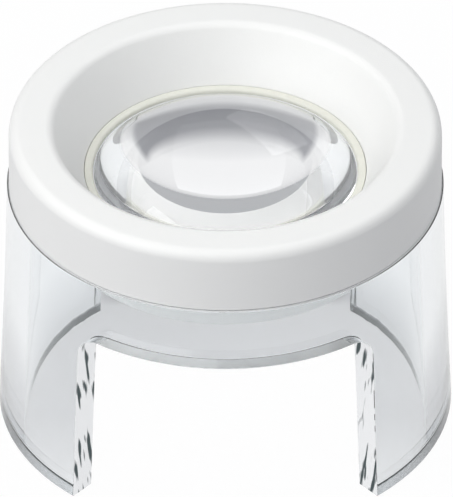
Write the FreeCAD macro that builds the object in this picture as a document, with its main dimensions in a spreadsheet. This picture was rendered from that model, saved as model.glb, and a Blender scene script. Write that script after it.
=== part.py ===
"""Stand magnifier: a clear two-window stand, a white eyecup collar, a thick lens and its ring.

The table top is the plane z = 0 and the optical axis is +Z. The windows of the stand open to the
front (-Y) and to the rear (+Y), and its two legs stand at +X and -X. All lengths are millimetres.
"""

import FreeCAD, Part
import math
import os
from collections import namedtuple

import Sketcher

SIZES = {
    # lens, a thick double convex moulding with a flat rim
    "lens_radius": 15.0,
    "lens_rim_width": 0.95,
    "lens_rim_thickness": 2.0,
    "lens_top_sag": 5.0,
    "lens_bottom_sag": 5.0,
    "lens_bore_clearance": 0.1,
    # ring that holds the lens down
    "ring_thickness": 0.5,
    "ring_edge_chamfer": 0.12,
    "ring_bore_clearance": 0.05,
    "ring_lens_clearance": 0.1,
    # collar: eyecup, lens barrel and skirt in one moulding
    "collar_height": 7.3,
    "eyecup_depth": 5.8,
    "eyecup_flare": 3.4,
    "rim_thickness": 1.9,
    "rim_outer_rounding": 1.2,
    "rim_inner_rounding": 1.2,
    "funnel_wall": 1.7,
    "barrel_wall": 1.5,
    "barrel_length": 4.9,
    "barrel_draft": 0.35,
    "barrel_edge_chamfer": 0.35,
    "seat_lens_clearance": 0.1,
    "skirt_wall": 1.75,
    "skirt_draft": 0.1,
    "skirt_edge_chamfer": 0.2,
    # webs that stiffen the hollow underside of the collar and stop the spigot
    "web_count": 8,
    "web_thickness": 1.0,
    "web_stop_height": 1.4,
    "web_clearance": 0.1,
    # stand
    "stand_height": 28.7,
    "stand_foot_wall": 2.9,
    "stand_reveal": 0.2,
    "stand_flare": 1.35,
    "stand_bow": 0.1,
    "stand_edge_chamfer": 0.2,
    "spigot_gap": 3.55,
    "spigot_wall": 1.2,
    "spigot_lead_in": 0.35,
    "spigot_fit_clearance": 0.05,
    "lintel_height": 7.4,
    "window_span_angle": 82.6,
    "window_count": 2,
    "window_corner_radius": 2.6,
    # one overrun serves every cut
    "cut_overrun": 1.0,
}

# Radii that follow from the sheet, from the lens outwards.
OPENING = "(Sizes.lens_radius - Sizes.lens_rim_width)"
BORE = "(Sizes.lens_radius + Sizes.lens_bore_clearance)"
RING_IN = f"({OPENING} + Sizes.ring_lens_clearance)"
RING_OUT = f"({BORE} - Sizes.ring_bore_clearance)"
SEAT = f"({OPENING} + Sizes.seat_lens_clearance)"
BARREL = f"({BORE} + Sizes.barrel_wall)"
MOUTH = f"({BORE} + Sizes.eyecup_flare)"
SPIGOT_IN = f"({BARREL} + Sizes.spigot_gap)"
SPIGOT_OUT = f"({SPIGOT_IN} + Sizes.spigot_wall)"
SKIRT_IN = f"({SPIGOT_OUT} + Sizes.spigot_fit_clearance)"
SKIRT_OUT = f"({SKIRT_IN} + Sizes.skirt_wall)"
STAND_TOP = f"({SKIRT_OUT} + Sizes.stand_reveal)"
STAND_FOOT = f"({STAND_TOP} + Sizes.stand_flare)"

# Heights above the table that follow from the sheet, from the rim of the eyecup down.
RIM = "(Sizes.stand_height + Sizes.collar_height)"
RING_TOP = f"({RIM} - Sizes.eyecup_depth)"
LENS_RIM_TOP = f"({RING_TOP} - Sizes.ring_thickness)"
LENS_SEAT = f"({LENS_RIM_TOP} - Sizes.lens_rim_thickness)"
BARREL_FOOT = f"({LENS_SEAT} - Sizes.barrel_length)"
HOLLOW_TOP = f"({RIM} - Sizes.rim_thickness)"
WEB_STOP = f"({HOLLOW_TOP} - Sizes.web_stop_height)"
SPIGOT_TOP = f"({WEB_STOP} - Sizes.web_clearance)"
SHOULDER = "Sizes.stand_height"
WINDOW_TOP = "(Sizes.stand_height - Sizes.lintel_height)"
TABLE = "0"
AXIS = "0"

# The funnel of the eyecup widens by this much for each unit of height.
SLOPE = "(Sizes.eyecup_flare / Sizes.eyecup_depth)"

# A curved side of an outline: its radius, which way it bulges, and where its centre has to lie.
Arc = namedtuple("Arc", "radius bulges_out centre_on_axis")

doc = FreeCAD.newDocument("StandMagnifier")


def make_sheet():
    """Put each driving size in a row of a sheet, with its name as the alias."""
    cells = doc.addObject("Spreadsheet::Sheet", "Sizes")
    for row, (alias, value) in enumerate(SIZES.items(), start=1):
        cells.set(f"A{row}", alias)
        cells.set(f"B{row}", str(value))
        cells.setAlias(f"B{row}", alias)
    doc.recompute()
    return cells


sheet = make_sheet()


def value_of(expression):
    """Number that an expression on the sheet stands for."""
    result = sheet.evalExpression(expression)
    return float(getattr(result, "Value", result))


def new_body(label):
    """Body whose label names its file."""
    body = doc.addObject("PartDesign::Body", label)
    body.Label = label
    return body


def origin_feature(body, role):
    """Plane or axis of the body's own origin."""
    return next(item for item in body.Origin.OriginFeatures if item.Role == role)


def new_sketch(body, name, plane):
    """Empty sketch on an upright plane through the optical axis: radius across, height up."""
    sketch = body.newObject("Sketcher::SketchObject", name)
    sketch.AttachmentSupport = [(origin_feature(body, plane), "")]
    sketch.MapMode = "FlatFace"
    sketch.Visibility = False
    return sketch


def pin_corner(sketch, side, end, radius, height):
    """Tie one end of a side to a radius and a height."""
    for kind, axis, expression in (("DistanceX", -2, radius), ("DistanceY", -1, height)):
        if expression == "0":
            sketch.addConstraint(Sketcher.Constraint("PointOnObject", side, end, axis))
            continue
        distance = Sketcher.Constraint(kind, -1, 1, side, end, value_of(expression))
        index = sketch.addConstraint(distance)
        sketch.setExpression(f"Constraints[{index}]", expression)


def arc_geometry(start, end, arc):
    """Arc from start to end. Its centre is to the left of the way there if it bulges out."""
    radius = value_of(arc.radius)
    run = end - start
    left = FreeCAD.Vector(-run.y, run.x, 0).normalize()
    rise = math.sqrt(radius ** 2 - (run.Length / 2) ** 2)
    centre = (start + end) / 2 + left * (rise if arc.bulges_out else -rise)
    first, last = [math.atan2(point.y - centre.y, point.x - centre.x) for point in (start, end)]
    circle = Part.Circle(centre, FreeCAD.Vector(0, 0, 1), radius)
    if arc.bulges_out:
        return Part.ArcOfCircle(circle, first, last)
    return Part.ArcOfCircle(circle, last, first)


def draw_outline(sketch, corners, arcs):
    """Closed anticlockwise outline. Side i runs from corner i to the next one."""
    count = len(corners)
    points = [FreeCAD.Vector(value_of(radius), value_of(height), 0) for radius, height in corners]
    heads = []
    tails = []
    for side in range(count):
        start = points[side]
        end = points[(side + 1) % count]
        arc = arcs.get(side)
        turned = arc is not None and not arc.bulges_out
        heads.append(2 if turned else 1)
        tails.append(1 if turned else 2)
        line = Part.LineSegment(start, end) if arc is None else arc_geometry(start, end, arc)
        sketch.addGeometry(line, False)
    for side in range(count):
        following = (side + 1) % count
        meeting = Sketcher.Constraint("Coincident", side, tails[side], following, heads[following])
        sketch.addConstraint(meeting)
    for side, (radius, height) in enumerate(corners):
        pin_corner(sketch, side, heads[side], radius, height)
    for side, arc in arcs.items():
        if arc.centre_on_axis:
            sketch.addConstraint(Sketcher.Constraint("PointOnObject", side, 3, -2))
            continue
        index = sketch.addConstraint(Sketcher.Constraint("Radius", side, value_of(arc.radius)))
        sketch.setExpression(f"Constraints[{index}]", arc.radius)


def turn(body, name, corners, arcs=None):
    """Turn an outline about the optical axis."""
    sketch = new_sketch(body, f"{name}_outline", "XZ_Plane")
    draw_outline(sketch, corners, arcs or {})
    turned = body.newObject("PartDesign::Revolution", name)
    turned.Profile = sketch
    turned.ReferenceAxis = (sketch, ["V_Axis"])
    turned.Angle = 360.0
    doc.recompute()
    return turned


def round_edges(body, name, base, edges, size):
    """Round the listed edges of the base feature."""
    rounding = body.newObject("PartDesign::Fillet", name)
    rounding.Base = (base, edges)
    rounding.setExpression("Radius", size)
    body.Tip = rounding
    doc.recompute()
    return rounding


def bevel_edges(body, name, base, edges, size):
    """Chamfer the listed edges of the base feature at 45 degrees."""
    bevel = body.newObject("PartDesign::Chamfer", name)
    bevel.Base = (base, edges)
    bevel.setExpression("Size", size)
    body.Tip = bevel
    doc.recompute()
    return bevel


def rings_at(feature, places):
    """Names of the circular edges of a feature that lie at the listed radii and heights."""
    near = value_of("Sizes.ring_bore_clearance / 2")
    names = []
    for radius, height in places:
        found = [
            f"Edge{number}"
            for number, edge in enumerate(feature.Shape.Edges, start=1)
            if isinstance(edge.Curve, Part.Circle)
            and abs(edge.Curve.Radius - value_of(radius)) < near
            and abs(edge.Curve.Center.z - value_of(height)) < near
        ]
        if not found:
            raise RuntimeError(f"{feature.Label} has no edge at radius {radius}, height {height}")
        names += found
    return names


def repeat_around(body, name, feature, count):
    """Copies of a feature, evenly spaced around the optical axis."""
    pattern = body.newObject("PartDesign::PolarPattern", name)
    pattern.Originals = [feature]
    pattern.Axis = (origin_feature(body, "Z_Axis"), [""])
    pattern.Angle = 360.0
    pattern.setExpression("Occurrences", count)
    body.Tip = pattern
    doc.recompute()
    return pattern


def make_lens():
    """Double convex lens. Each face is a spherical cap, with its centre on the optical axis."""
    body = new_body("lens")

    def cap(sag):
        return Arc(f"(({OPENING})^2 + ({sag})^2) / (2 * {sag})", True, True)

    corners = [
        (AXIS, f"{LENS_SEAT} - Sizes.lens_bottom_sag"),
        (OPENING, LENS_SEAT),
        ("Sizes.lens_radius", LENS_SEAT),
        ("Sizes.lens_radius", LENS_RIM_TOP),
        (OPENING, LENS_RIM_TOP),
        (AXIS, f"{LENS_RIM_TOP} + Sizes.lens_top_sag"),
    ]
    turn(body, "lens_caps", corners, {0: cap("Sizes.lens_bottom_sag"), 4: cap("Sizes.lens_top_sag")})
    return body


def make_retaining_ring():
    """Flat ring on the rim of the lens, with a small chamfer towards the eye."""
    body = new_body("retaining_ring")
    corners = [
        (RING_IN, LENS_RIM_TOP),
        (RING_OUT, LENS_RIM_TOP),
        (RING_OUT, RING_TOP),
        (f"{RING_IN} + Sizes.ring_edge_chamfer", RING_TOP),
        (RING_IN, f"{RING_TOP} - Sizes.ring_edge_chamfer"),
    ]
    turn(body, "flat_ring", corners)
    return body


def make_collar():
    """Eyecup collar: a funnel down to the lens, a barrel round it and a skirt over the spigot."""
    body = new_body("collar")
    hollow_foot = f"{RING_TOP} + (Sizes.barrel_wall - Sizes.funnel_wall) / {SLOPE}"
    hollow_in = f"{BORE} + {SLOPE} * ({HOLLOW_TOP} - {RING_TOP}) + Sizes.funnel_wall"
    corners = [
        (f"{SEAT} + Sizes.barrel_draft", BARREL_FOOT),
        (BARREL, BARREL_FOOT),
        (BARREL, hollow_foot),
        (hollow_in, HOLLOW_TOP),
        (SKIRT_IN, HOLLOW_TOP),
        (SKIRT_IN, SHOULDER),
        (SKIRT_OUT, SHOULDER),
        (f"{SKIRT_OUT} - Sizes.skirt_draft", RIM),
        (MOUTH, RIM),
        (BORE, RING_TOP),
        (BORE, LENS_SEAT),
        (SEAT, LENS_SEAT),
    ]
    shell = turn(body, "shell", corners)
    last = round_edges(
        body, "rim_outside", shell, rings_at(shell, [corners[7]]), "Sizes.rim_outer_rounding")
    last = round_edges(
        body, "rim_inside", last, rings_at(last, [(MOUTH, RIM)]), "Sizes.rim_inner_rounding")
    last = bevel_edges(
        body, "skirt_edge", last, rings_at(last, [(SKIRT_OUT, SHOULDER)]), "Sizes.skirt_edge_chamfer")
    last = bevel_edges(
        body, "barrel_edge", last, rings_at(last, [corners[1]]), "Sizes.barrel_edge_chamfer")

    web_root = f"{BARREL} - Sizes.barrel_wall / 2"
    web_out = f"{SPIGOT_IN} - Sizes.web_clearance"
    skirt_middle = f"{SKIRT_IN} + Sizes.skirt_wall / 2"
    rim_middle = f"{RIM} - Sizes.rim_thickness / 2"
    outline = [
        (web_root, SHOULDER),
        (web_out, SHOULDER),
        (web_out, WEB_STOP),
        (skirt_middle, WEB_STOP),
        (skirt_middle, rim_middle),
        (f"{BORE} + {SLOPE} * ({rim_middle} - {RING_TOP}) + Sizes.funnel_wall / 2", rim_middle),
        (web_root, f"{RING_TOP} + (Sizes.barrel_wall - Sizes.funnel_wall) / (2 * {SLOPE})"),
    ]
    sketch = new_sketch(body, "web_outline", "XZ_Plane")
    draw_outline(sketch, outline, {})
    web = body.newObject("PartDesign::Pad", "web")
    web.Profile = sketch
    web.Midplane = True
    web.setExpression("Length", "Sizes.web_thickness")
    doc.recompute()
    webs = repeat_around(body, "webs", web, "Sizes.web_count")
    require_change(last, webs, 1)
    return body


def make_stand():
    """Clear flared sleeve with a spigot for the collar and two windows that reach the table."""
    body = new_body("stand")
    bow = "Sizes.stand_bow"
    flank = f"(({SHOULDER})^2 + (Sizes.stand_flare)^2) / (8 * {bow}) + {bow} / 2"
    corners = [
        (f"{STAND_FOOT} - Sizes.stand_foot_wall", TABLE),
        (STAND_FOOT, TABLE),
        (STAND_TOP, SHOULDER),
        (SPIGOT_OUT, SHOULDER),
        (SPIGOT_OUT, f"{SPIGOT_TOP} - Sizes.spigot_lead_in"),
        (f"{SPIGOT_OUT} - Sizes.spigot_lead_in", SPIGOT_TOP),
        (SPIGOT_IN, SPIGOT_TOP),
        (SPIGOT_IN, SHOULDER),
    ]
    sleeve = turn(body, "sleeve", corners, {1: Arc(flank, False, False)})
    edges = rings_at(sleeve, [corners[0], corners[1], corners[2]])
    last = bevel_edges(body, "sleeve_edges", sleeve, edges, "Sizes.stand_edge_chamfer")

    sketch = new_sketch(body, "window_outline", "YZ_Plane")
    inside = f"{SPIGOT_IN} / 2"
    outside = f"{STAND_FOOT} + Sizes.cut_overrun"
    below = "-Sizes.cut_overrun"
    cut = [(inside, below), (outside, below), (outside, WINDOW_TOP), (inside, WINDOW_TOP)]
    draw_outline(sketch, cut, {})
    window = body.newObject("PartDesign::Groove", "window")
    window.Profile = sketch
    window.ReferenceAxis = (sketch, ["V_Axis"])
    window.setExpression("Angle", "Sizes.window_span_angle")
    window.Midplane = True
    doc.recompute()
    windows = repeat_around(body, "windows", window, "Sizes.window_count")
    require_change(last, windows, -1)

    near = value_of("Sizes.ring_bore_clearance / 2")
    top = value_of(WINDOW_TOP)
    corners_of_windows = [
        f"Edge{number}"
        for number, edge in enumerate(windows.Shape.Edges, start=1)
        if isinstance(edge.Curve, Part.Line)
        and all(abs(vertex.Point.z - top) < near for vertex in edge.Vertexes)
    ]
    round_edges(body, "window_corners", windows, corners_of_windows, "Sizes.window_corner_radius")
    return body


def require_change(before, after, sign):
    """Stop if a feature that has to add (sign 1) or cut (sign -1) leaves the volume as it was."""
    if (after.Shape.Volume - before.Shape.Volume) * sign <= 0:
        raise RuntimeError(f"{after.Label} changes nothing")


def check_state():
    """Stop if a feature of the document has failed."""
    for item in doc.Objects:
        failed = [word for word in item.State if word in ("Invalid", "Error")]
        if failed:
            raise RuntimeError(f"{item.Label}: {item.State}")


def export(bodies):
    """Write each sub-part to a file of its own, once all of them are sound."""
    os.makedirs("parts", exist_ok=True)
    for body in bodies:
        shape = body.Shape
        if shape.isNull() or not shape.isValid() or len(shape.Solids) != 1:
            raise RuntimeError(f"{body.Label} is not one sound solid")
    for body in bodies:
        body.Shape.exportStep(f"parts/{body.Label}.step")
        print(f"{body.Label}: {body.Shape.Volume:.1f} cubic mm")


pieces = [make_stand(), make_collar(), make_lens(), make_retaining_ring()]
doc.recompute()
check_state()
export(pieces)
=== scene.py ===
"""Looks of a stand magnifier: clear stand, white eyecup collar, thick lens and cream ring.

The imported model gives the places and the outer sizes. Lengths are metres, +Z is the optical axis
and -Y is the front. Every piece is made of grids of points that numpy works out.
"""

import math

import bmesh
import bpy
import numpy as np
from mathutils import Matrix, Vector


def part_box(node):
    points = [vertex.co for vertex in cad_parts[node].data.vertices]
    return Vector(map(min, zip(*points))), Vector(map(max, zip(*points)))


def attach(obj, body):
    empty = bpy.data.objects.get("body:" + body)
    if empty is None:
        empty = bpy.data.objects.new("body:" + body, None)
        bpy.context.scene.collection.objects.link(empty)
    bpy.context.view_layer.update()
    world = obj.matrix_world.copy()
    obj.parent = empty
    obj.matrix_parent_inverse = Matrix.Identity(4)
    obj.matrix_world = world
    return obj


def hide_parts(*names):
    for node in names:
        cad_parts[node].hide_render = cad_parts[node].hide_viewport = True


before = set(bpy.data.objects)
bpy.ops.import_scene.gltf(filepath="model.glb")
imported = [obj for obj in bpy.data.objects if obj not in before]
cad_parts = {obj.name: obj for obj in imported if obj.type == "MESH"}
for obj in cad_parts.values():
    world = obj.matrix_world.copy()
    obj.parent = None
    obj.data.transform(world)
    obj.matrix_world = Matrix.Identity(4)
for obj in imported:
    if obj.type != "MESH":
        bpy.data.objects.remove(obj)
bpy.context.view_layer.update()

bl_info = {
    "name": "Stand magnifier",
    "version": (1, 0, 0),
    "blender": (4, 5, 0),
    "location": "View3D > Sidebar > Magnifier",
    "description": "Builds the looks of a stand magnifier round its packed frame",
    "category": "Add Mesh",
}

MM = 0.001
# Height of the photograph's frame in pixels.
FRAME_HEIGHT = 497
# Columns all round a turned piece, and steps along the arc of a rounded corner.
TURNED_COLUMNS = 288
ROUNDING_STEPS = 6
# Faces that meet at a greater angle keep a sharp edge. Points that are nearer become one.
SHARP_ANGLE = math.radians(30)
WELD_DISTANCE = 1e-7
# Index of refraction of the white and the cream plastic.
MOULDING_INDEX = 1.5

_, stand_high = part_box("stand")
collar_low, collar_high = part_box("collar")
lens_low, lens_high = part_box("lens")
ring_low, ring_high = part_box("retaining_ring")


def length(name, description, default):
    """Property for a length in metres."""
    return bpy.props.FloatProperty(
        name=name, description=description, default=default, min=0, unit="LENGTH", precision=5)


def angle(name, description, degrees):
    """Property for an angle, given in degrees."""
    return bpy.props.FloatProperty(
        name=name, description=description, default=math.radians(degrees), subtype="ANGLE")


def factor(name, description, default, top=1.0):
    """Property for a plain number from 0 to top."""
    return bpy.props.FloatProperty(
        name=name, description=description, default=default, min=0, max=top, subtype="FACTOR")


def colour(name, description, default):
    """Property for a colour, in linear light."""
    return bpy.props.FloatVectorProperty(
        name=name, description=description, default=default, min=0, max=1, size=3,
        subtype="COLOR")


def point(name, description, default):
    """Property for a place in metres."""
    return bpy.props.FloatVectorProperty(
        name=name, description=description, default=default, size=3, subtype="TRANSLATION",
        unit="LENGTH")


def power(name, description, default):
    """Property for the power of a lamp in watts."""
    return bpy.props.FloatProperty(
        name=name, description=description, default=default, min=0, unit="POWER")


def picture_heights(name, description, pixels):
    """Property for a length in the picture, given in pixels of the photograph's frame."""
    return bpy.props.FloatProperty(
        name=name, description=description, default=pixels / FRAME_HEIGHT)


def group(name, description, kind):
    """Property that holds a whole group of settings."""
    return bpy.props.PointerProperty(name=name, description=description, type=kind)


class StandSizes(bpy.types.PropertyGroup):
    """Sizes of the clear stand."""

    foot_radius: length("Foot radius", "Outside radius on the table", stand_high.x)
    top_radius: length("Top radius", "Outside radius under the collar", 23.35 * MM)
    bow: length("Bow", "How far the flank curves inwards between foot and top", 0.1 * MM)
    foot_wall: length("Foot wall", "Thickness of the sleeve on the table", 2.9 * MM)
    shoulder: length(
        "Shoulder", "Height of the sleeve, where the collar begins", collar_low.z + 5.9 * MM)
    spigot_outside: length("Spigot outside", "Outside radius of the spigot", 21.35 * MM)
    spigot_inside: length("Spigot inside", "Inside radius of the spigot", 20.15 * MM)
    spigot_top: length("Spigot top", "Height of the top of the spigot", stand_high.z)
    lead_in: length("Lead-in", "Chamfer at the top of the spigot", 0.35 * MM)
    window_top: length("Window top", "Height of the two windows", 21.3 * MM)
    window_half_angle: angle("Window half angle", "Half of the angle that a window spans", 41.3)
    window_corner: length("Window corner", "Radius of the upper corners of a window", 2.6 * MM)
    edge: length("Edge", "Width of the polished roundings along the edges", 0.14 * MM)


class CollarSizes(bpy.types.PropertyGroup):
    """Sizes of the white eyecup collar."""

    rim: length("Rim height", "Height of the top of the collar", collar_high.z)
    skirt_outside: length("Skirt outside", "Outside radius at the foot of the skirt", collar_high.x)
    skirt_wall: length("Skirt wall", "Thickness of the skirt", 1.75 * MM)
    skirt_draft: length("Skirt draft", "How much the skirt narrows upwards", 0.1 * MM)
    skirt_foot: length("Skirt foot", "Height of the foot of the skirt", collar_low.z + 5.93 * MM)
    rim_rounding: length("Rim rounding", "Radius of both edges of the rim", 1.2 * MM)
    rim_thickness: length("Rim thickness", "Thickness of the rim", 1.9 * MM)
    mouth: length("Mouth", "Inside radius of the funnel at the rim", 18.5 * MM)
    funnel_wall: length("Funnel wall", "Thickness of the funnel, measured across", 1.7 * MM)
    bore: length("Bore", "Inside radius round the lens", 15.1 * MM)
    seat: length("Seat", "Inside radius of the ledge under the lens", 14.15 * MM)
    barrel_draft: length("Barrel draft", "How much the barrel widens downwards inside", 0.35 * MM)
    barrel_outside: length("Barrel outside", "Outside radius of the barrel", 16.6 * MM)
    barrel_foot: length("Barrel foot", "Height of the foot of the barrel", collar_low.z)
    fine_rounding: length("Fine rounding", "Radius of the small edges", 0.3 * MM)
    web_count: bpy.props.IntProperty(
        name="Webs", description="Number of webs in the hollow of the collar", default=8, min=0)
    web_thickness: length("Web thickness", "Thickness of a web", 1.0 * MM)
    web_stop: length("Web stop", "Height of the step on which the spigot stops", 32.7 * MM)


class LensSizes(bpy.types.PropertyGroup):
    """Sizes of the lens and of the ring that holds it."""

    radius: length("Radius", "Outside radius of the lens", lens_high.x)
    clear_radius: length("Clear radius", "Radius of the two domes", 14.05 * MM)
    top: length("Top", "Height of the upper dome", lens_high.z)
    bottom: length("Bottom", "Height of the lower dome", lens_low.z)
    rim_top: length("Rim top", "Height of the upper face of the rim", ring_low.z)
    rim_thickness: length("Rim thickness", "Thickness of the rim", 2.0 * MM)
    ring_outside: length("Ring outside", "Outside radius of the ring", ring_high.x)
    ring_inside: length("Ring inside", "Inside radius of the ring", 14.15 * MM)
    ring_top: length("Ring top", "Height of the upper face of the ring", ring_high.z)
    ring_rounding: length("Ring rounding", "Radius of the edges of the ring", 0.3 * MM)
    air_gap: length(
        "Air gap", "Air between the rim of the lens and the faces that hold it", 0.02 * MM)


class Finishes(bpy.types.PropertyGroup):
    """Colours and surface values of the materials."""

    white: colour("White moulding", "Colour of the collar", (0.86, 0.86, 0.845))
    white_roughness: factor("White roughness", "Mean roughness of the collar", 0.42)
    white_spread: factor("White spread", "How far that roughness goes up and down", 0.08)
    grain: length("Grain", "Depth of the satin grain of the collar", 0.012 * MM)
    cream: colour("Cream moulding", "Colour of the ring", (0.78, 0.78, 0.70))
    cream_grain: length("Cream grain", "Depth of the grain of the ring", 0.006 * MM)
    clear: colour("Clear moulding", "Tint of the stand", (0.955, 0.975, 0.985))
    # Bright of the cut faces, the feet and the shoulder: a painted reflection of what these clear
    # faces mirror. On the lens rim it is the pale of the ground edge.
    cut: colour("Cut face", "Colour of the bright faces that the cutter made", (0.96, 0.97, 0.98))
    # Painted dark: the streaks in the cut faces are painted reflections, and the strip on the feet
    # is painted shade.
    painted_dark: colour("Cut streak", "Colour of the streaks in the cut faces", (0.06, 0.085, 0.09))
    lens: colour("Lens", "Tint of the lens", (0.985, 0.99, 0.995))
    refraction: bpy.props.FloatProperty(
        name="Index", description="Index of refraction of the acrylic", default=1.49, min=1, max=2)
    ripple: length("Ripple", "Depth of the mould's ripple on clear faces", 0.002 * MM)
    cut_shine: factor("Cut shine", "How much the bright faces of the stand mirror", 0.8)
    cutter_marks: length("Cutter marks", "Depth of the marks on the cut faces", 0.02 * MM)
    streak_width: length("Streak width", "Width of a streak", 0.6 * MM)
    streak_length: length("Streak length", "Length of a streak", 4.0 * MM)
    streak_change: length("Streak change", "Way from leg to leg that changes the streaks", 20 * MM)
    streak_slant: factor("Streak slant", "Growth of a streak's radius with its height", 0.13)
    streak_level: factor("Streak level", "Noise from which on a streak shows", 0.6)
    streak_edge: factor("Streak edge", "How much more noise makes it quite dark", 1 / 14)
    streak_more: factor("Streak more", "How much less noise is enough on the table", 0.08)
    streak_low: length("Streak low", "Height up to which less noise is enough", 6.25 * MM)
    strip_front: length("Front strip", "Width of the dark strip on a foot's front half", 0.5 * MM)
    strip_rear: length("Rear strip", "Width of the dark strip on its rear half", 2.5 * MM)
    strip_turn: length("Strip turn", "Way behind the middle in which the strip widens", 5 * MM)
    strip_edge: length("Strip edge", "Width over which the strip fades", 1 / 6 * MM)


class StageSettings(bpy.types.PropertyGroup):
    """Floor, light and camera."""

    floor: colour("Floor", "Colour of the floor where it is lit", (0.42, 0.42, 0.44))
    floor_reach: length("Floor reach", "Half the width of the floor", 4.0)
    white_in_view: factor("White in view", "How white the floor is straight from the camera", 0.94)
    white_in_gloss: factor("White in gloss", "How white the floor is in reflections", 0.8)
    # Through clear parts the floor has painted shade under the object, painted light in front of it
    # and a painted shadow of the collar behind it.
    white_in_clear: factor("White in clear", "How white it is through clear parts, inside", 0.44)
    white_far: factor("White far", "How white it is through them, outside", 0.8)
    painted_light_front: factor("White front", "How much whiter it is through them in front", 0.2)
    glow: factor("Glow", "Strength of the white floor", 1.03, top=2.0)
    inside_end: length("Inside end", "Radius up to which the floor is inside", 27 * MM)
    outside_start: length("Outside start", "Radius from which on it is outside", 36 * MM)
    front_start: length("Front start", "Way before the axis where the floor gets whiter", 3 * MM)
    front_full: length("Front full", "Way before the axis where it is whitest", 13 * MM)
    # Where the painted shadow of the collar lies on the floor, seen only through clear parts.
    shadow_start: length("Shadow start", "Way behind the axis where the shadow begins", 17.5 * MM)
    shadow_full: length("Shadow full", "Way behind the axis where it is full", 20 * MM)
    shadow_end: length("Shadow end", "Way behind the axis where it is half gone", 27 * MM)
    shadow_fade: length("Shadow fade", "Length over which it goes", 10 / 3 * MM)
    shadow_bend: length("Shadow bend", "Radius of the bend of its rear edge", 25 / 3 * MM)
    side_full: length("Side full", "Way from the middle where the shadow's sides begin", 12.65 * MM)
    side_gone: length("Side gone", "Way from the middle where they end", 16.12 * MM)
    sky: colour("Sky", "Colour of the surroundings", (0.95, 0.97, 1.0))
    sky_light: factor("Sky light", "Brightness of the surroundings as a light", 0.45)
    sky_through: factor("Sky through", "How much brighter they are through clear parts", 1.0)
    sky_slant: factor("Sky slant", "How much brighter they are from the right", 0.2)
    sky_in_gloss: factor("Sky in gloss", "Brightness of the surroundings in reflections", 0.03)
    sky_in_clear: factor("Sky in clear", "Their brightness when seen through clear parts", 0.48)
    lamp_width: length("Lamp width", "Width of both lamps", 0.9)
    lamp_depth: length("Lamp depth", "Depth of both lamps", 0.8)
    overhead_power: power("Overhead power", "Power of the lamp overhead", 1.5)
    overhead_place: point("Overhead place", "Place of the lamp overhead", (-0.05, 0.1, 0.5))
    overhead_aim: point("Overhead aim", "Where the lamp overhead shines", (-0.05, 0.1, 0))
    side_power: power("Side power", "Power of the lamp in front at the left", 4.4)
    side_place: point("Side place", "Place of the lamp at the left", (-0.47, -0.36, 0.48))
    side_aim: point("Side aim", "Where the lamp at the left shines", (0, 0, 0.02))
    camera_distance: length("Camera distance", "From the camera to its aim", 0.80229)
    camera_elevation: angle("Camera elevation", "Height of the camera above the horizon", 37.25)
    camera_aim: length("Camera aim", "Height of the point that the camera looks at", 17.829 * MM)
    focal_length: picture_heights("Focal length", "Focal length in picture heights", 7440)
    shift_right: picture_heights("Shift right", "Camera shift in picture heights", 1.2)
    shift_up: picture_heights("Shift up", "Camera shift in picture heights", 11.3)


class MagnifierSettings(bpy.types.PropertyGroup):
    """All the settings of the scene."""

    stand: group("Stand", "The clear stand", StandSizes)
    collar: group("Collar", "The white collar", CollarSizes)
    lens: group("Lens", "The lens and its ring", LensSizes)
    finishes: group("Finishes", "The materials", Finishes)
    stage: group("Stage", "Floor, light and camera", StageSettings)


class Value:
    """What a node gives. Sums, differences and products of numbers add Math nodes."""

    def __init__(self, nodes, socket):
        self.nodes = nodes
        self.socket = socket

    def combine(self, operation, first, second):
        """Math node of two numbers."""
        return self.nodes.add("ShaderNodeMath", {"operation": operation}, {0: first, 1: second})

    def __add__(self, other):
        return self.combine("ADD", self, other)

    def __sub__(self, other):
        return self.combine("SUBTRACT", self, other)

    def __rsub__(self, other):
        return self.combine("SUBTRACT", other, self)

    def __mul__(self, other):
        return self.combine("MULTIPLY", self, other)

    __radd__ = __add__
    __rmul__ = __mul__


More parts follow.
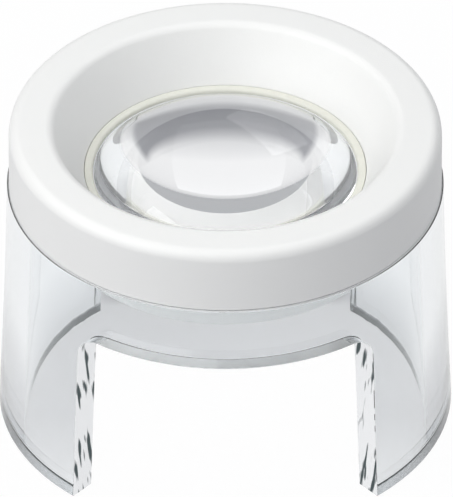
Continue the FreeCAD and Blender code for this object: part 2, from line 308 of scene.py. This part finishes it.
class Nodes:
    """Node tree of a material or of the world."""

    def __init__(self, owner):
        owner.use_nodes = True
        self.tree = owner.node_tree
        self.tree.nodes.clear()

    def add(self, kind, settings=None, sockets=None, output=0):
        """Node of a kind. Its settings are set first, then its sockets get values or links."""
        node = self.tree.nodes.new(kind)
        for name, value in (settings or {}).items():
            setattr(node, name, value)
        for name, value in (sockets or {}).items():
            if isinstance(value, Value):
                self.tree.links.new(value.socket, node.inputs[name])
            else:
                node.inputs[name].default_value = value
        return Value(self, node.outputs[output]) if node.outputs else None

    def place(self):
        """Place of the shaded point on its own object."""
        return self.add("ShaderNodeTexCoord", output="Object")

    def radius(self):
        """Distance of the shaded point from the optical axis."""
        flat = self.add(
            "ShaderNodeVectorMath", {"operation": "MULTIPLY"}, {0: self.place(), 1: (1, 1, 0)})
        return self.add("ShaderNodeVectorMath", {"operation": "LENGTH"}, {0: flat}, output="Value")

    def along(self, axis):
        """Place of the shaded point along the axis X, Y or Z."""
        return self.add("ShaderNodeSeparateXYZ", None, {"Vector": self.place()}, output=axis)

    def noise_at(self, way, detail):
        """Smooth noise from 0 to 1 whose lumps are about 1 across on the way given."""
        return self.add("ShaderNodeTexNoise", None, {"Vector": way, "Scale": 1.0, "Detail": detail})

    def noise(self, lumps, stretch=(1.0, 1.0, 1.0)):
        """Smooth noise from 0 to 1 whose lumps are about so wide, drawn out by stretch."""
        scale = tuple(1.0 / (lumps * part) for part in stretch)
        way = self.add("ShaderNodeMapping", None, {"Vector": self.place(), "Scale": scale})
        return self.noise_at(way, detail=2.0)

    def between(self, share, first, second):
        """Number that goes from first to second as share goes from 0 to 1."""
        return share * (second - first) + first

    def blend(self, share, first, second):
        """Colour that goes from first to second as share goes from 0 to 1."""
        settings = {"data_type": "RGBA"}
        sockets = {0: share, 6: (*first, 1.0), 7: (*second, 1.0)}
        return self.add("ShaderNodeMix", settings, sockets, output=2)

    def clamp(self, value):
        """Number kept between 0 and 1."""
        return self.add("ShaderNodeClamp", None, {"Value": value})

    def rise(self, value, first, last):
        """Number that goes straight from 0 at first to 1 at last, as value does, and no further."""
        return self.clamp((value - first) * (1 / (last - first)))

    def bump(self, height, depth):
        """Normal of a surface that stands up by depth where height is 1."""
        sockets = {"Strength": 1.0, "Distance": depth, "Height": height}
        return self.add("ShaderNodeBump", None, sockets)

    def surface(self, shader):
        """The material's surface is this shader."""
        self.add("ShaderNodeOutputMaterial", None, {"Surface": shader})


def darker(shade, share):
    """Shade times share."""
    return tuple(channel * share for channel in shade)


def white_moulding(finishes):
    """Satin white plastic: fine grain all over, and a tone that drifts a little."""
    material = bpy.data.materials.new("white_moulding")
    nodes = Nodes(material)
    grain = nodes.noise(lumps=0.16 * MM)
    drift = nodes.noise(lumps=9.0 * MM)
    smoothest = finishes.white_roughness - finishes.white_spread
    roughest = finishes.white_roughness + finishes.white_spread
    nodes.surface(nodes.add("ShaderNodeBsdfPrincipled", None, {
        "Base Color": nodes.blend(drift, tuple(finishes.white), darker(finishes.white, 0.975)),
        "Roughness": nodes.between(grain * 0.5 + drift * 0.5, smoothest, roughest),
        "IOR": MOULDING_INDEX,
        "Normal": nodes.bump(grain, finishes.grain),
    }))
    return material


def cream_moulding(finishes):
    """Uncoloured plastic of the ring: cream, faintly mottled, with a fine grain."""
    material = bpy.data.materials.new("cream_moulding")
    nodes = Nodes(material)
    mottle = nodes.noise(lumps=1.2 * MM)
    grain = nodes.noise(lumps=0.25 * MM)
    nodes.surface(nodes.add("ShaderNodeBsdfPrincipled", None, {
        "Base Color": nodes.blend(mottle, tuple(finishes.cream), darker(finishes.cream, 0.93)),
        "Roughness": nodes.between(mottle, 0.35, 0.5),
        "IOR": MOULDING_INDEX,
        "Normal": nodes.bump(grain, finishes.cream_grain),
    }))
    return material


def clear_moulding(finishes):
    """Clear acrylic with a faint ripple from the mould."""
    material = bpy.data.materials.new("clear_moulding")
    nodes = Nodes(material)
    ripple = nodes.noise(lumps=4.0 * MM, stretch=(1.0, 1.0, 2.5))
    haze = nodes.noise(lumps=0.8 * MM)
    nodes.surface(nodes.add("ShaderNodeBsdfPrincipled", None, {
        "Base Color": (*finishes.clear, 1.0),
        "Roughness": nodes.between(haze, 0.0, 0.03),
        "IOR": finishes.refraction,
        "Transmission Weight": 1.0,
        "Normal": nodes.bump(ripple, finishes.ripple),
    }))
    return material


def cut_face(finishes):
    """Bright face that the cutter left in the clear acrylic, with fine dark streaks that slant.

    The face is drawn opaque: its bright, mostly mirroring white is a painted reflection of the
    bright things that the clear face mirrors, and the dark streaks are painted reflections of dark
    things.
    A streak shows where noise is above a level that falls towards the table. The noise is drawn out
    along lines on which the radius grows with the height.
    """
    material = bpy.data.materials.new("cut_face")
    nodes = Nodes(material)
    height = nodes.along("Z")
    across = nodes.radius() - height * finishes.streak_slant
    way = nodes.add("ShaderNodeCombineXYZ", None, {
        "X": across * (1 / finishes.streak_width),
        "Y": height * (1 / finishes.streak_length),
        "Z": nodes.along("X") * (1 / finishes.streak_change),
    })
    marks = nodes.noise_at(way, detail=1.0)
    low = nodes.rise(height, finishes.streak_low, 0)
    darkest = finishes.streak_level + finishes.streak_edge
    # Painted reflection: the dark streaks stand for dark things mirrored in the clear face.
    painted_streak = nodes.rise(marks + low * finishes.streak_more, finishes.streak_level, darkest)
    nodes.surface(nodes.add("ShaderNodeBsdfPrincipled", None, {
        "Base Color": nodes.blend(painted_streak, tuple(finishes.cut), tuple(finishes.painted_dark)),
        "Metallic": finishes.cut_shine,
        "Roughness": nodes.between(marks, 0.12, 0.25),
        "IOR": finishes.refraction,
        "Normal": nodes.bump(marks, finishes.cutter_marks),
    }))
    return material


def foot_face(finishes, inner):
    """Bright face on the table, with a dark strip along its inner edge, where no light gets in.

    The strip is wider on the rear half, where the light comes through the front of the leg. Grain
    frays its outer edge.
    """
    material = bpy.data.materials.new("foot_face")
    nodes = Nodes(material)
    grain = nodes.noise(lumps=0.5 * MM)
    rear = nodes.rise(nodes.along("Y"), 0, finishes.strip_turn)
    reach = nodes.between(rear, inner + finishes.strip_front, inner + finishes.strip_rear)
    strip = nodes.clamp((reach - nodes.radius()) * (1 / finishes.strip_edge) + grain)
    nodes.surface(nodes.add("ShaderNodeBsdfPrincipled", None, {
        "Base Color": nodes.blend(strip, tuple(finishes.cut), tuple(finishes.painted_dark)),
        "Metallic": finishes.cut_shine,
        "Roughness": nodes.between(grain, 0.15, 0.3),
        "IOR": finishes.refraction,
    }))
    return material


def shoulder_face(finishes):
    """Bright face at the top of the sleeve, under the skirt of the collar."""
    material = bpy.data.materials.new("shoulder_face")
    nodes = Nodes(material)
    nodes.surface(nodes.add("ShaderNodeBsdfPrincipled", None, {
        "Base Color": (*finishes.cut, 1.0),
        "Metallic": finishes.cut_shine,
        "Roughness": nodes.between(nodes.noise(lumps=0.5 * MM), 0.15, 0.3),
        "IOR": finishes.refraction,
    }))
    return material


def lens_edge(finishes):
    """Fine-ground rim of the lens, pale all round."""
    material = bpy.data.materials.new("lens_edge")
    nodes = Nodes(material)
    grain = nodes.noise(lumps=0.4 * MM)
    nodes.surface(nodes.add("ShaderNodeBsdfPrincipled", None, {
        "Base Color": nodes.blend(grain, tuple(finishes.cut), darker(finishes.cut, 0.9)),
        "Roughness": nodes.between(grain, 0.25, 0.4),
        "IOR": finishes.refraction,
    }))
    return material


def lens_acrylic(finishes):
    """Polished acrylic of the lens, with only a breath of haze."""
    material = bpy.data.materials.new("lens_acrylic")
    nodes = Nodes(material)
    nodes.surface(nodes.add("ShaderNodeBsdfPrincipled", None, {
        "Base Color": (*finishes.lens, 1.0),
        "Roughness": nodes.between(nodes.noise(lumps=3.0 * MM), 0.0, 0.012),
        "IOR": finishes.refraction,
        "Transmission Weight": 1.0,
    }))
    return material


def rounded(corners):
    """Outline through corners (radius, height, rounding).

    The arc of a rounded corner touches both sides at the distance rounding / tan(half the corner's
    angle). Its points swing round the arc's centre from one touching point to the other.
    """
    points = np.array([corner[:2] for corner in corners])
    outline = []
    for index, (*_, rounding) in enumerate(corners):
        here = points[index]
        if not rounding:
            outline.append(here[None])
            continue
        back = points[index - 1] - here
        ahead = points[(index + 1) % len(points)] - here
        back /= np.linalg.norm(back)
        ahead /= np.linalg.norm(ahead)
        half = math.acos(np.clip(back @ ahead, -1, 1)) / 2
        middle = (back + ahead) / np.linalg.norm(back + ahead)
        centre = here + middle * rounding / math.sin(half)
        first = here + back * rounding / math.tan(half) - centre
        last = here + ahead * rounding / math.tan(half) - centre
        swing = math.pi - 2 * half
        share = np.linspace(0, 1, ROUNDING_STEPS + 1)[:, None]
        arc = np.sin((1 - share) * swing) * first + np.sin(share * swing) * last
        outline.append(centre + arc / math.sin(swing))
    return np.concatenate(outline)


def turned_points(radius, height, azimuth):
    """Points at a radius, a height and an azimuth that is 0 at the front and grows to the right."""
    return np.stack([radius * np.sin(azimuth), -radius * np.cos(azimuth), height], axis=-1)


def grid_faces(rows, columns, close_rows=False, close_columns=False, start=0):
    """Quads of a grid of points, row after row.

    A closed direction joins its last line to its first. The first point has the number start.
    """
    row = np.arange(rows if close_rows else rows - 1)[:, None]
    column = np.arange(columns if close_columns else columns - 1)[None, :]
    next_row = (row + 1) % rows
    next_column = (column + 1) % columns
    ring = [row * columns + column, row * columns + next_column,
            next_row * columns + next_column, next_row * columns + column]
    return start + np.stack(np.broadcast_arrays(*ring), axis=-1).reshape(-1, 4)


class Shell:
    """Grids of points that are joined to one mesh."""

    def __init__(self):
        self.points = []
        self.faces = []
        self.finish = []
        self.count = 0

    def add(self, grid, close_rows=False, close_columns=False, finish=0):
        """Add a grid of points. finish is the number of its material on the piece."""
        rows, columns = grid.shape[:2]
        quads = grid_faces(rows, columns, close_rows, close_columns, self.count)
        self.faces += quads.tolist()
        self.points.append(grid.reshape(-1, 3))
        self.finish += [finish] * (len(self.faces) - len(self.finish))
        self.count += rows * columns

    def add_plate(self, outline, across):
        """Add a plate: an outline of points, moved to both sides by across."""
        size = len(outline)
        self.points.append(np.concatenate([outline - across, outline + across]))
        first = np.arange(self.count, self.count + size)
        second = first + size
        ring = [first, np.roll(first, -1), np.roll(second, -1), second]
        sides = np.stack(ring, axis=-1)
        self.faces += [first[::-1].tolist(), second.tolist(), *sides.tolist()]
        self.finish += [0] * (size + 2)
        self.count += 2 * size

    def build(self, name, *materials):
        """Object of the grids: doubles merged, faces outwards, smooth but for sharp edges."""
        mesh = bpy.data.meshes.new(name)
        mesh.from_pydata(np.concatenate(self.points).tolist(), [], self.faces)
        for material in materials:
            mesh.materials.append(material)
        mesh.polygons.foreach_set("material_index", self.finish)
        work = bmesh.new()
        work.from_mesh(mesh)
        bmesh.ops.remove_doubles(work, verts=work.verts, dist=WELD_DISTANCE)
        bmesh.ops.recalc_face_normals(work, faces=work.faces)
        work.to_mesh(mesh)
        work.free()
        mesh.shade_smooth()
        mesh.set_sharp_from_angle(angle=SHARP_ANGLE)
        piece = bpy.data.objects.new(name, mesh)
        bpy.context.collection.objects.link(piece)
        return piece


def revolved(outline):
    """Grid of an outline turned about the optical axis: one row for each point of the outline."""
    azimuth = np.linspace(0, 2 * math.pi, TURNED_COLUMNS, endpoint=False)
    height = np.broadcast_to(outline[:, 1:], (len(outline), TURNED_COLUMNS))
    return turned_points(outline[:, :1], height, azimuth)


def even_normals(piece):
    """Keep the shading of flat faces flat up to the roundings beside them."""
    modifier = piece.modifiers.new("even_normals", "WEIGHTED_NORMAL")
    modifier.keep_sharp = True


def hand_over(piece, node):
    """The piece stands for a node of the frame: it hangs from the root body, and the node is
    hidden.
    """
    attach(piece, "root")
    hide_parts(node)


def settings_of(context):
    """The settings of the scene."""
    return context.scene.magnifier


class MAGNIFIER_OT_stand(bpy.types.Operator):
    """Build the clear stand: a flared sleeve with a spigot on top and two windows to the table."""

    bl_idname = "magnifier.stand"
    bl_label = "Clear stand"

    # Columns and rows of the grids, columns for a quarter of the way round.
    flat_columns = 20
    corner_columns = 10
    leg_columns = 30
    wall_rows = 10
    leg_rows = 24
    across_rows = 3

    # Numbers of the materials on the piece.
    clear_finish = 0
    cut_finish = 1
    foot_finish = 2
    shoulder_finish = 3

    def outside(self, sizes, height):
        """Outside radius at a height: a straight taper less a parabola that is bow deep."""
        share = height / sizes.shoulder
        taper = sizes.foot_radius + (sizes.top_radius - sizes.foot_radius) * share
        return taper - 4 * sizes.bow * share * (1 - share)

    def inside(self, sizes, height):
        """Inside radius at a height: a straight taper from the foot to the inside of the spigot."""
        foot = sizes.foot_radius - sizes.foot_wall
        return foot + (sizes.spigot_inside - foot) * height / sizes.shoulder

    def window_edge(self, sizes, face):
        """Azimuth and height of the columns' feet from the middle of a window to the side of a leg.

        The flat top runs to the corner. The corner is a quarter circle that lies across the radial
        face of the leg, so its azimuth is the window's less the angle of its offset from that face.
        """
        swing = np.linspace(math.pi / 2, 0, self.corner_columns + 1)
        offset = sizes.window_corner * (1 - np.cos(swing))
        height = sizes.window_top - sizes.window_corner * (1 - np.sin(swing))
        corner = sizes.window_half_angle - np.arcsin(offset / face(sizes, height))
        flat = np.linspace(0, corner[0], self.flat_columns, endpoint=False)
        top = np.full(self.flat_columns, sizes.window_top)
        return np.concatenate([flat, corner]), np.concatenate([top, height])

    def heights_round(self, quarter):
        """Heights from front to side, mirrored to the back, and the same again on the left."""
        half = np.concatenate([quarter, quarter[-2::-1]])
        return np.concatenate([half, half[1:-1]])

    def azimuths_round(self, quarter):
        """Azimuths from front to side, taken from a half turn to get to the back, and all round."""
        half = np.concatenate([quarter, math.pi - quarter[-2::-1]])
        return np.concatenate([half, math.pi + half[1:-1]])

    def feet_of(self, sizes, face):
        """Azimuth and height of the feet of all columns: the windows' edge and the tops of legs."""
        azimuth, height = self.window_edge(sizes, face)
        leg = np.linspace(sizes.window_half_angle, math.pi / 2, self.leg_columns + 1)[1:]
        leg_top = np.full(self.leg_columns, sizes.window_top - sizes.window_corner)
        return (self.azimuths_round(np.concatenate([azimuth, leg])),
                self.heights_round(np.concatenate([height, leg_top])))

    def sleeve(self, sizes, face, feet, top_azimuth):
        """Grid of a face of the sleeve: straight lines from the columns' feet to the shoulder."""
        azimuth, height = feet
        share = np.linspace(0, 1, self.wall_rows + 1)[:, None]
        height = height + (sizes.shoulder - height) * share
        azimuth = azimuth + (top_azimuth - azimuth) * share
        return turned_points(face(sizes, height), height, azimuth)

    def spigot(self, sizes, top_azimuth):
        """Grid of the spigot: up its outside, over the lead-in, and in to its inner edge."""
        outline = np.array([
            (sizes.spigot_outside, sizes.shoulder),
            (sizes.spigot_outside, sizes.spigot_top - sizes.lead_in),
            (sizes.spigot_outside - sizes.lead_in, sizes.spigot_top),
            (sizes.spigot_inside, sizes.spigot_top),
        ])
        height = np.broadcast_to(outline[:, 1:], (len(outline), len(top_azimuth)))
        return turned_points(outline[:, :1], height, top_azimuth)

    def add_leg(self, shell, sizes, azimuth, height):
        """Add the inside, the foot and the outside of a leg below the corners of the windows."""
        height = np.broadcast_to(height[:, None], (len(height), len(azimuth)))
        inside = turned_points(self.inside(sizes, height), height, azimuth)
        outside = turned_points(self.outside(sizes, height), height, azimuth)
        shell.add(inside)
        shell.add(self.between(inside[0], outside[0]), finish=self.foot_finish)
        shell.add(outside)

    def add_window(self, shell, sizes, outer_feet, inner_feet, jamb_height):
        """Add the edge of a window: a jamb with its corner, the flat top, and the other jamb."""
        outer = self.window_lines(sizes, self.outside, outer_feet, jamb_height)
        inner = self.window_lines(sizes, self.inside, inner_feet, jamb_height)
        finishes = (self.cut_finish, self.clear_finish, self.cut_finish)
        for outer_line, inner_line, finish in zip(outer, inner, finishes):
            shell.add(self.between(inner_line, outer_line), finish=finish)

    def window_lines(self, sizes, face, feet, jamb_height):
        """Three lines of a window's edge on one face of the sleeve."""
        azimuth, height = feet
        arch = turned_points(face(sizes, height), height, azimuth)
        radius = face(sizes, jamb_height)
        left, right = (
            turned_points(radius, jamb_height, np.full(len(jamb_height), azimuth[end]))
            for end in (0, -1))
        bend = self.corner_columns
        return (np.concatenate([left, arch[:bend + 1]]),
                arch[bend:-bend],
                np.concatenate([arch[-bend - 1:], right[::-1]]))

    def between(self, inner_line, outer_line):
        """Grid that goes straight from one line to the other."""
        across = np.linspace(0, 1, self.across_rows + 1)[:, None, None]
        return inner_line + (outer_line - inner_line) * across

    def execute(self, context):
        sizes = settings_of(context).stand
        window = self.flat_columns + self.corner_columns
        quarter = window + self.leg_columns
        top_azimuth = self.azimuths_round(np.linspace(0, math.pi / 2, quarter + 1))
        outer_feet = self.feet_of(sizes, self.outside)
        inner_feet = self.feet_of(sizes, self.inside)
        outer = self.sleeve(sizes, self.outside, outer_feet, top_azimuth)
        inner = self.sleeve(sizes, self.inside, inner_feet, top_azimuth)
        spigot = self.spigot(sizes, top_azimuth)

        shell = Shell()
        shell.add(outer, close_columns=True)
        shoulder = np.concatenate([outer[-1:], spigot[:1]])
        shell.add(shoulder, close_columns=True, finish=self.shoulder_finish)
        shell.add(np.concatenate([spigot, inner[::-1]]), close_columns=True)

        leg_top = sizes.window_top - sizes.window_corner
        leg_height = np.linspace(0, leg_top, self.leg_rows + 1)
        for middle in (0, 2 * quarter):
            leg = np.arange(middle + window, middle + 2 * quarter - window + 1) % (4 * quarter)
            self.add_leg(shell, sizes, outer_feet[0][leg], leg_height)
            edge = np.arange(middle - window, middle + window + 1) % (4 * quarter)
            self.add_window(
                shell, sizes, [line[edge] for line in outer_feet],
                [line[edge] for line in inner_feet], leg_height[:-1])

        finishes = settings_of(context).finishes
        foot_inside = sizes.foot_radius - sizes.foot_wall
        piece = shell.build(
            "clear_stand", clear_moulding(finishes), cut_face(finishes),
            foot_face(finishes, foot_inside), shoulder_face(finishes))
        bevel = piece.modifiers.new("polished_edges", "BEVEL")
        bevel.width = sizes.edge
        bevel.segments = 3
        bevel.limit_method = "ANGLE"
        bevel.angle_limit = SHARP_ANGLE
        bevel.harden_normals = True
        hand_over(piece, "stand")
        return {"FINISHED"}


class MAGNIFIER_OT_collar(bpy.types.Operator):
    """Build the eyecup collar: funnel, lens barrel, skirt and the webs in its hollow underside."""

    bl_idname = "magnifier.collar"
    bl_label = "Eyecup collar"

    def execute(self, context):
        settings = settings_of(context)
        sizes = settings.collar
        ring_top = settings.lens.ring_top
        lens_seat = settings.lens.rim_top - settings.lens.rim_thickness - settings.lens.air_gap
        slope = (sizes.mouth - sizes.bore) / (sizes.rim - ring_top)
        hollow_top = sizes.rim - sizes.rim_thickness
        hollow_foot = ring_top + (sizes.barrel_outside - sizes.bore - sizes.funnel_wall) / slope
        hollow_in = sizes.bore + slope * (hollow_top - ring_top) + sizes.funnel_wall
        skirt_inside = sizes.skirt_outside - sizes.skirt_wall
        fine = sizes.fine_rounding
        outline = rounded([
            (sizes.seat + sizes.barrel_draft, sizes.barrel_foot, fine / 2),
            (sizes.barrel_outside, sizes.barrel_foot, fine),
            (sizes.barrel_outside, hollow_foot, 0),
            (hollow_in, hollow_top, fine),
            (skirt_inside, hollow_top, fine),
            (skirt_inside, sizes.skirt_foot, fine / 2),
            (sizes.skirt_outside, sizes.skirt_foot, fine / 2),
            (sizes.skirt_outside - sizes.skirt_draft, sizes.rim, sizes.rim_rounding),
            (sizes.mouth, sizes.rim, sizes.rim_rounding),
            (sizes.bore, ring_top, fine / 2),
            (sizes.bore, lens_seat, 0),
            (sizes.seat, lens_seat, 0),
        ])
        shell = Shell()
        shell.add(revolved(outline), close_rows=True, close_columns=True)

        web_root = sizes.barrel_outside - fine
        web_out = settings.stand.spigot_inside - fine / 2
        skirt_middle = skirt_inside + sizes.skirt_wall / 2
        rim_middle = sizes.rim - sizes.rim_thickness / 2
        funnel_middle = sizes.bore + slope * (rim_middle - ring_top) + sizes.funnel_wall / 2
        web = np.array([
            (web_root, sizes.skirt_foot),
            (web_out, sizes.skirt_foot),
            (web_out, sizes.web_stop),
            (skirt_middle, sizes.web_stop),
            (skirt_middle, rim_middle),
            (funnel_middle, rim_middle),
            (web_root, hollow_foot + fine),
        ])
        for azimuth in np.arange(sizes.web_count) * 2 * math.pi / sizes.web_count:
            plate = turned_points(web[:, 0], web[:, 1], azimuth)
            shell.add_plate(plate, turned_points(sizes.web_thickness / 2, 0, azimuth + math.pi / 2))

        piece = shell.build("eyecup_collar", white_moulding(settings.finishes))
        even_normals(piece)
        hand_over(piece, "collar")
        return {"FINISHED"}


class MAGNIFIER_OT_lens(bpy.types.Operator):
    """Build the lens: two polished domes with a flat rim between them."""

    bl_idname = "magnifier.lens"
    bl_label = "Lens"

    # Rows of a dome, and the number of the rim's material on the piece.
    dome_rows = 96
    edge_finish = 1

    def dome(self, clear_radius, rim, apex):
        """Outline of a dome from its edge to the axis.

        A sphere of radius (a * a + s * s) / (2 * s) passes through the edge at radius a and through
        the apex, which is s above it. The points are at even angles from its centre.
        """
        sag = abs(apex - rim)
        ball = (clear_radius ** 2 + sag ** 2) / (2 * sag)
        swing = np.linspace(math.asin(clear_radius / ball), 0, self.dome_rows)
        rise = ball * np.cos(swing) - (ball - sag)
        return np.stack([ball * np.sin(swing), rim + np.sign(apex - rim) * rise], axis=-1)

    def execute(self, context):
        settings = settings_of(context)
        sizes = settings.lens
        seat = sizes.rim_top - sizes.rim_thickness
        upper = self.dome(sizes.clear_radius, sizes.rim_top, sizes.top)
        lower = self.dome(sizes.clear_radius, seat, sizes.bottom)
        rim = np.array([(sizes.radius, seat), (sizes.radius, sizes.rim_top)])
        shell = Shell()
        shell.add(revolved(lower), close_columns=True)
        edge = np.concatenate([lower[:1], rim, upper[:1]])
        shell.add(revolved(edge), close_columns=True, finish=self.edge_finish)
        shell.add(revolved(upper), close_columns=True)
        finishes = settings.finishes
        piece = shell.build("polished_lens", lens_acrylic(finishes), lens_edge(finishes))
        hand_over(piece, "lens")
        return {"FINISHED"}


class MAGNIFIER_OT_ring(bpy.types.Operator):
    """Build the cream ring that holds the lens in its seat."""

    bl_idname = "magnifier.ring"
    bl_label = "Retaining ring"

    def execute(self, context):
        settings = settings_of(context)
        sizes = settings.lens
        edge = sizes.ring_rounding
        foot = sizes.rim_top + sizes.air_gap
        outline = rounded([
            (sizes.ring_inside, foot, 0),
            (sizes.ring_outside, foot, 0),
            (sizes.ring_outside, sizes.ring_top, edge / 3),
            (sizes.ring_inside, sizes.ring_top, edge),
        ])
        shell = Shell()
        shell.add(revolved(outline), close_rows=True, close_columns=True)
        piece = shell.build("cream_ring", cream_moulding(settings.finishes))
        even_normals(piece)
        hand_over(piece, "retaining_ring")
        return {"FINISHED"}


class MAGNIFIER_OT_stage(bpy.types.Operator):
    """Set up the pale floor, the surroundings, the lamps and the camera."""

    bl_idname = "magnifier.stage"
    bl_label = "Stage"

    # The floor lies a hair under the feet, so that their faces don't share a place.
    floor_height = -0.02 * MM

    def painted_shade_through_clear(self, nodes, stage):
        """How white each place of the floor looks through a clear part.

        It goes from white_in_clear to white_far between two radii, a painted shade under the
        object, and painted light makes it a little whiter in front of the axis. Behind the axis it
        is black in a painted shadow of the collar. That shadow begins at a straight edge and ends
        at one that bends back as a parabola, by the square of the way to the side over twice the
        radius of its bend. It fades out to both sides with the same square.
        """
        back = nodes.along("Y")
        right = nodes.along("X")
        square = right * right
        # Painted shadow of the collar behind the axis: its front edge, its rear edge and its sides.
        begins = nodes.rise(back, stage.shadow_start, stage.shadow_full)
        first = -stage.shadow_end - stage.shadow_fade / 2
        last = -stage.shadow_end + stage.shadow_fade / 2
        ends = nodes.rise(square * (1 / (2 * stage.shadow_bend)) - back, first, last)
        sides = nodes.rise(square, stage.side_gone ** 2, stage.side_full ** 2)
        outside = nodes.rise(nodes.radius(), stage.inside_end, stage.outside_start)
        # Painted light that makes the floor whiter in front of the axis.
        front = nodes.rise(back, -stage.front_start, -stage.front_full)
        white = (nodes.between(outside, stage.white_in_clear, stage.white_far)
                 + front * stage.painted_light_front)
        return (1 - begins * ends * sides) * white

    def floor(self, stage):
        """Floor that looks white from the camera but keeps the object's shadow.

        A ray that passed through a clear part counts as glossy too, so that share is taken off.
        """
        shell = Shell()
        reach = stage.floor_reach
        corner = np.array([-reach, reach])
        x, y = np.meshgrid(corner, corner)
        shell.add(np.stack([x, y, np.full_like(x, self.floor_height)], axis=-1))
        material = bpy.data.materials.new("floor")
        nodes = Nodes(material)
        ray = {
            kind: nodes.add("ShaderNodeLightPath", output=f"Is {kind} Ray")
            for kind in ("Camera", "Glossy", "Transmission")}
        share = (ray["Camera"] * stage.white_in_view
                 + ray["Glossy"] * (1 - ray["Transmission"]) * stage.white_in_gloss
                 + ray["Transmission"] * self.painted_shade_through_clear(nodes, stage))
        paint = nodes.add("ShaderNodeBsdfDiffuse", None, {"Color": (*stage.floor, 1.0)})
        glow = nodes.add(
            "ShaderNodeEmission", None, {"Color": (1.0, 1.0, 1.0, 1.0), "Strength": stage.glow})
        nodes.surface(nodes.add("ShaderNodeMixShader", None, {0: share, 1: paint, 2: glow}))
        piece = shell.build("floor", material)

    def surroundings(self, context, stage):
        """Pale surroundings that light the object and look white from the camera.

        A ray that has met a matt surface is light from them, which is brighter from the right and
        through clear parts. Any other ray sees them in a reflection or through a clear part, where
        they are darker.
        """
        world = bpy.data.worlds.new("surroundings")
        context.scene.world = world
        nodes = Nodes(world)
        camera = nodes.add("ShaderNodeLightPath", output="Is Camera Ray")
        clear = nodes.add("ShaderNodeLightPath", output="Is Transmission Ray")
        matt = nodes.clamp(nodes.add("ShaderNodeLightPath", output="Diffuse Depth"))
        way = nodes.add("ShaderNodeTexCoord", output="Generated")
        right = nodes.add("ShaderNodeSeparateXYZ", None, {"Vector": way}, output="X")
        seen = nodes.between(clear, stage.sky_in_gloss, stage.sky_in_clear)
        shine = right * stage.sky_slant + clear * stage.sky_through + stage.sky_light
        dim = seen + matt * (shine - seen)
        strength = camera + (1 - camera) * dim
        white = nodes.blend(camera, tuple(stage.sky), (1.0, 1.0, 1.0))
        light = nodes.add("ShaderNodeBackground", None, {"Color": white, "Strength": strength})
        nodes.add("ShaderNodeOutputWorld", None, {"Surface": light})

    def lamp(self, context, name, place, aim, watts):
        """Soft rectangular lamp that shines from a place towards its aim."""
        stage = settings_of(context).stage
        light = bpy.data.lights.new(name, "AREA")
        light.shape = "RECTANGLE"
        light.size = stage.lamp_width
        light.size_y = stage.lamp_depth
        light.energy = watts
        lamp = bpy.data.objects.new(name, light)
        lamp.location = place
        lamp.rotation_euler = (Vector(aim) - Vector(place)).to_track_quat("-Z", "Y").to_euler()
        lamp.visible_camera = False
        context.collection.objects.link(lamp)

    def camera(self, context, stage):
        """Camera at the height and distance of the photograph's."""
        data = bpy.data.cameras.new("camera")
        data.sensor_width = 36.0
        data.lens = data.sensor_width * stage.focal_length
        data.shift_x = stage.shift_right
        data.shift_y = stage.shift_up
        data.clip_start = 0.05
        camera = bpy.data.objects.new("camera", data)
        tilt = stage.camera_elevation
        reach = stage.camera_distance
        camera.location = (0, -math.cos(tilt) * reach, stage.camera_aim + math.sin(tilt) * reach)
        camera.rotation_euler = (math.pi / 2 - tilt, 0, 0)
        context.collection.objects.link(camera)
        context.scene.camera = camera

    def execute(self, context):
        stage = settings_of(context).stage
        self.floor(stage)
        self.surroundings(context, stage)
        self.lamp(
            context, "overhead", stage.overhead_place, stage.overhead_aim, stage.overhead_power)
        self.lamp(context, "side", stage.side_place, stage.side_aim, stage.side_power)
        self.camera(context, stage)
        context.scene.view_settings.view_transform = "Standard"
        return {"FINISHED"}


BUILDERS = (
    MAGNIFIER_OT_stand,
    MAGNIFIER_OT_collar,
    MAGNIFIER_OT_lens,
    MAGNIFIER_OT_ring,
    MAGNIFIER_OT_stage,
)


class MAGNIFIER_PT_panel(bpy.types.Panel):
    """Panel that lists the builders."""

    bl_idname = "MAGNIFIER_PT_panel"
    bl_label = "Stand magnifier"
    bl_space_type = "VIEW_3D"
    bl_region_type = "UI"
    bl_category = "Magnifier"

    def draw(self, context):
        for builder in BUILDERS:
            self.layout.operator(builder.bl_idname)


CLASSES = (
    StandSizes, CollarSizes, LensSizes, Finishes, StageSettings, MagnifierSettings, *BUILDERS,
    MAGNIFIER_PT_panel)


def register():
    """Make the settings, builders and panel known to Blender."""
    for kind in CLASSES:
        bpy.utils.register_class(kind)
    bpy.types.Scene.magnifier = group(
        "Magnifier", "Settings of the stand magnifier", MagnifierSettings)


def unregister():
    """Take the settings, builders and panel away again."""
    del bpy.types.Scene.magnifier
    for kind in reversed(CLASSES):
        bpy.utils.unregister_class(kind)


def main():
    """Build every piece and the stage."""
    register()
    bpy.ops.magnifier.stand()
    bpy.ops.magnifier.collar()
    bpy.ops.magnifier.lens()
    bpy.ops.magnifier.ring()
    bpy.ops.magnifier.stage()
    bpy.context.view_layer.update()


if __name__ == "__main__":
    main()
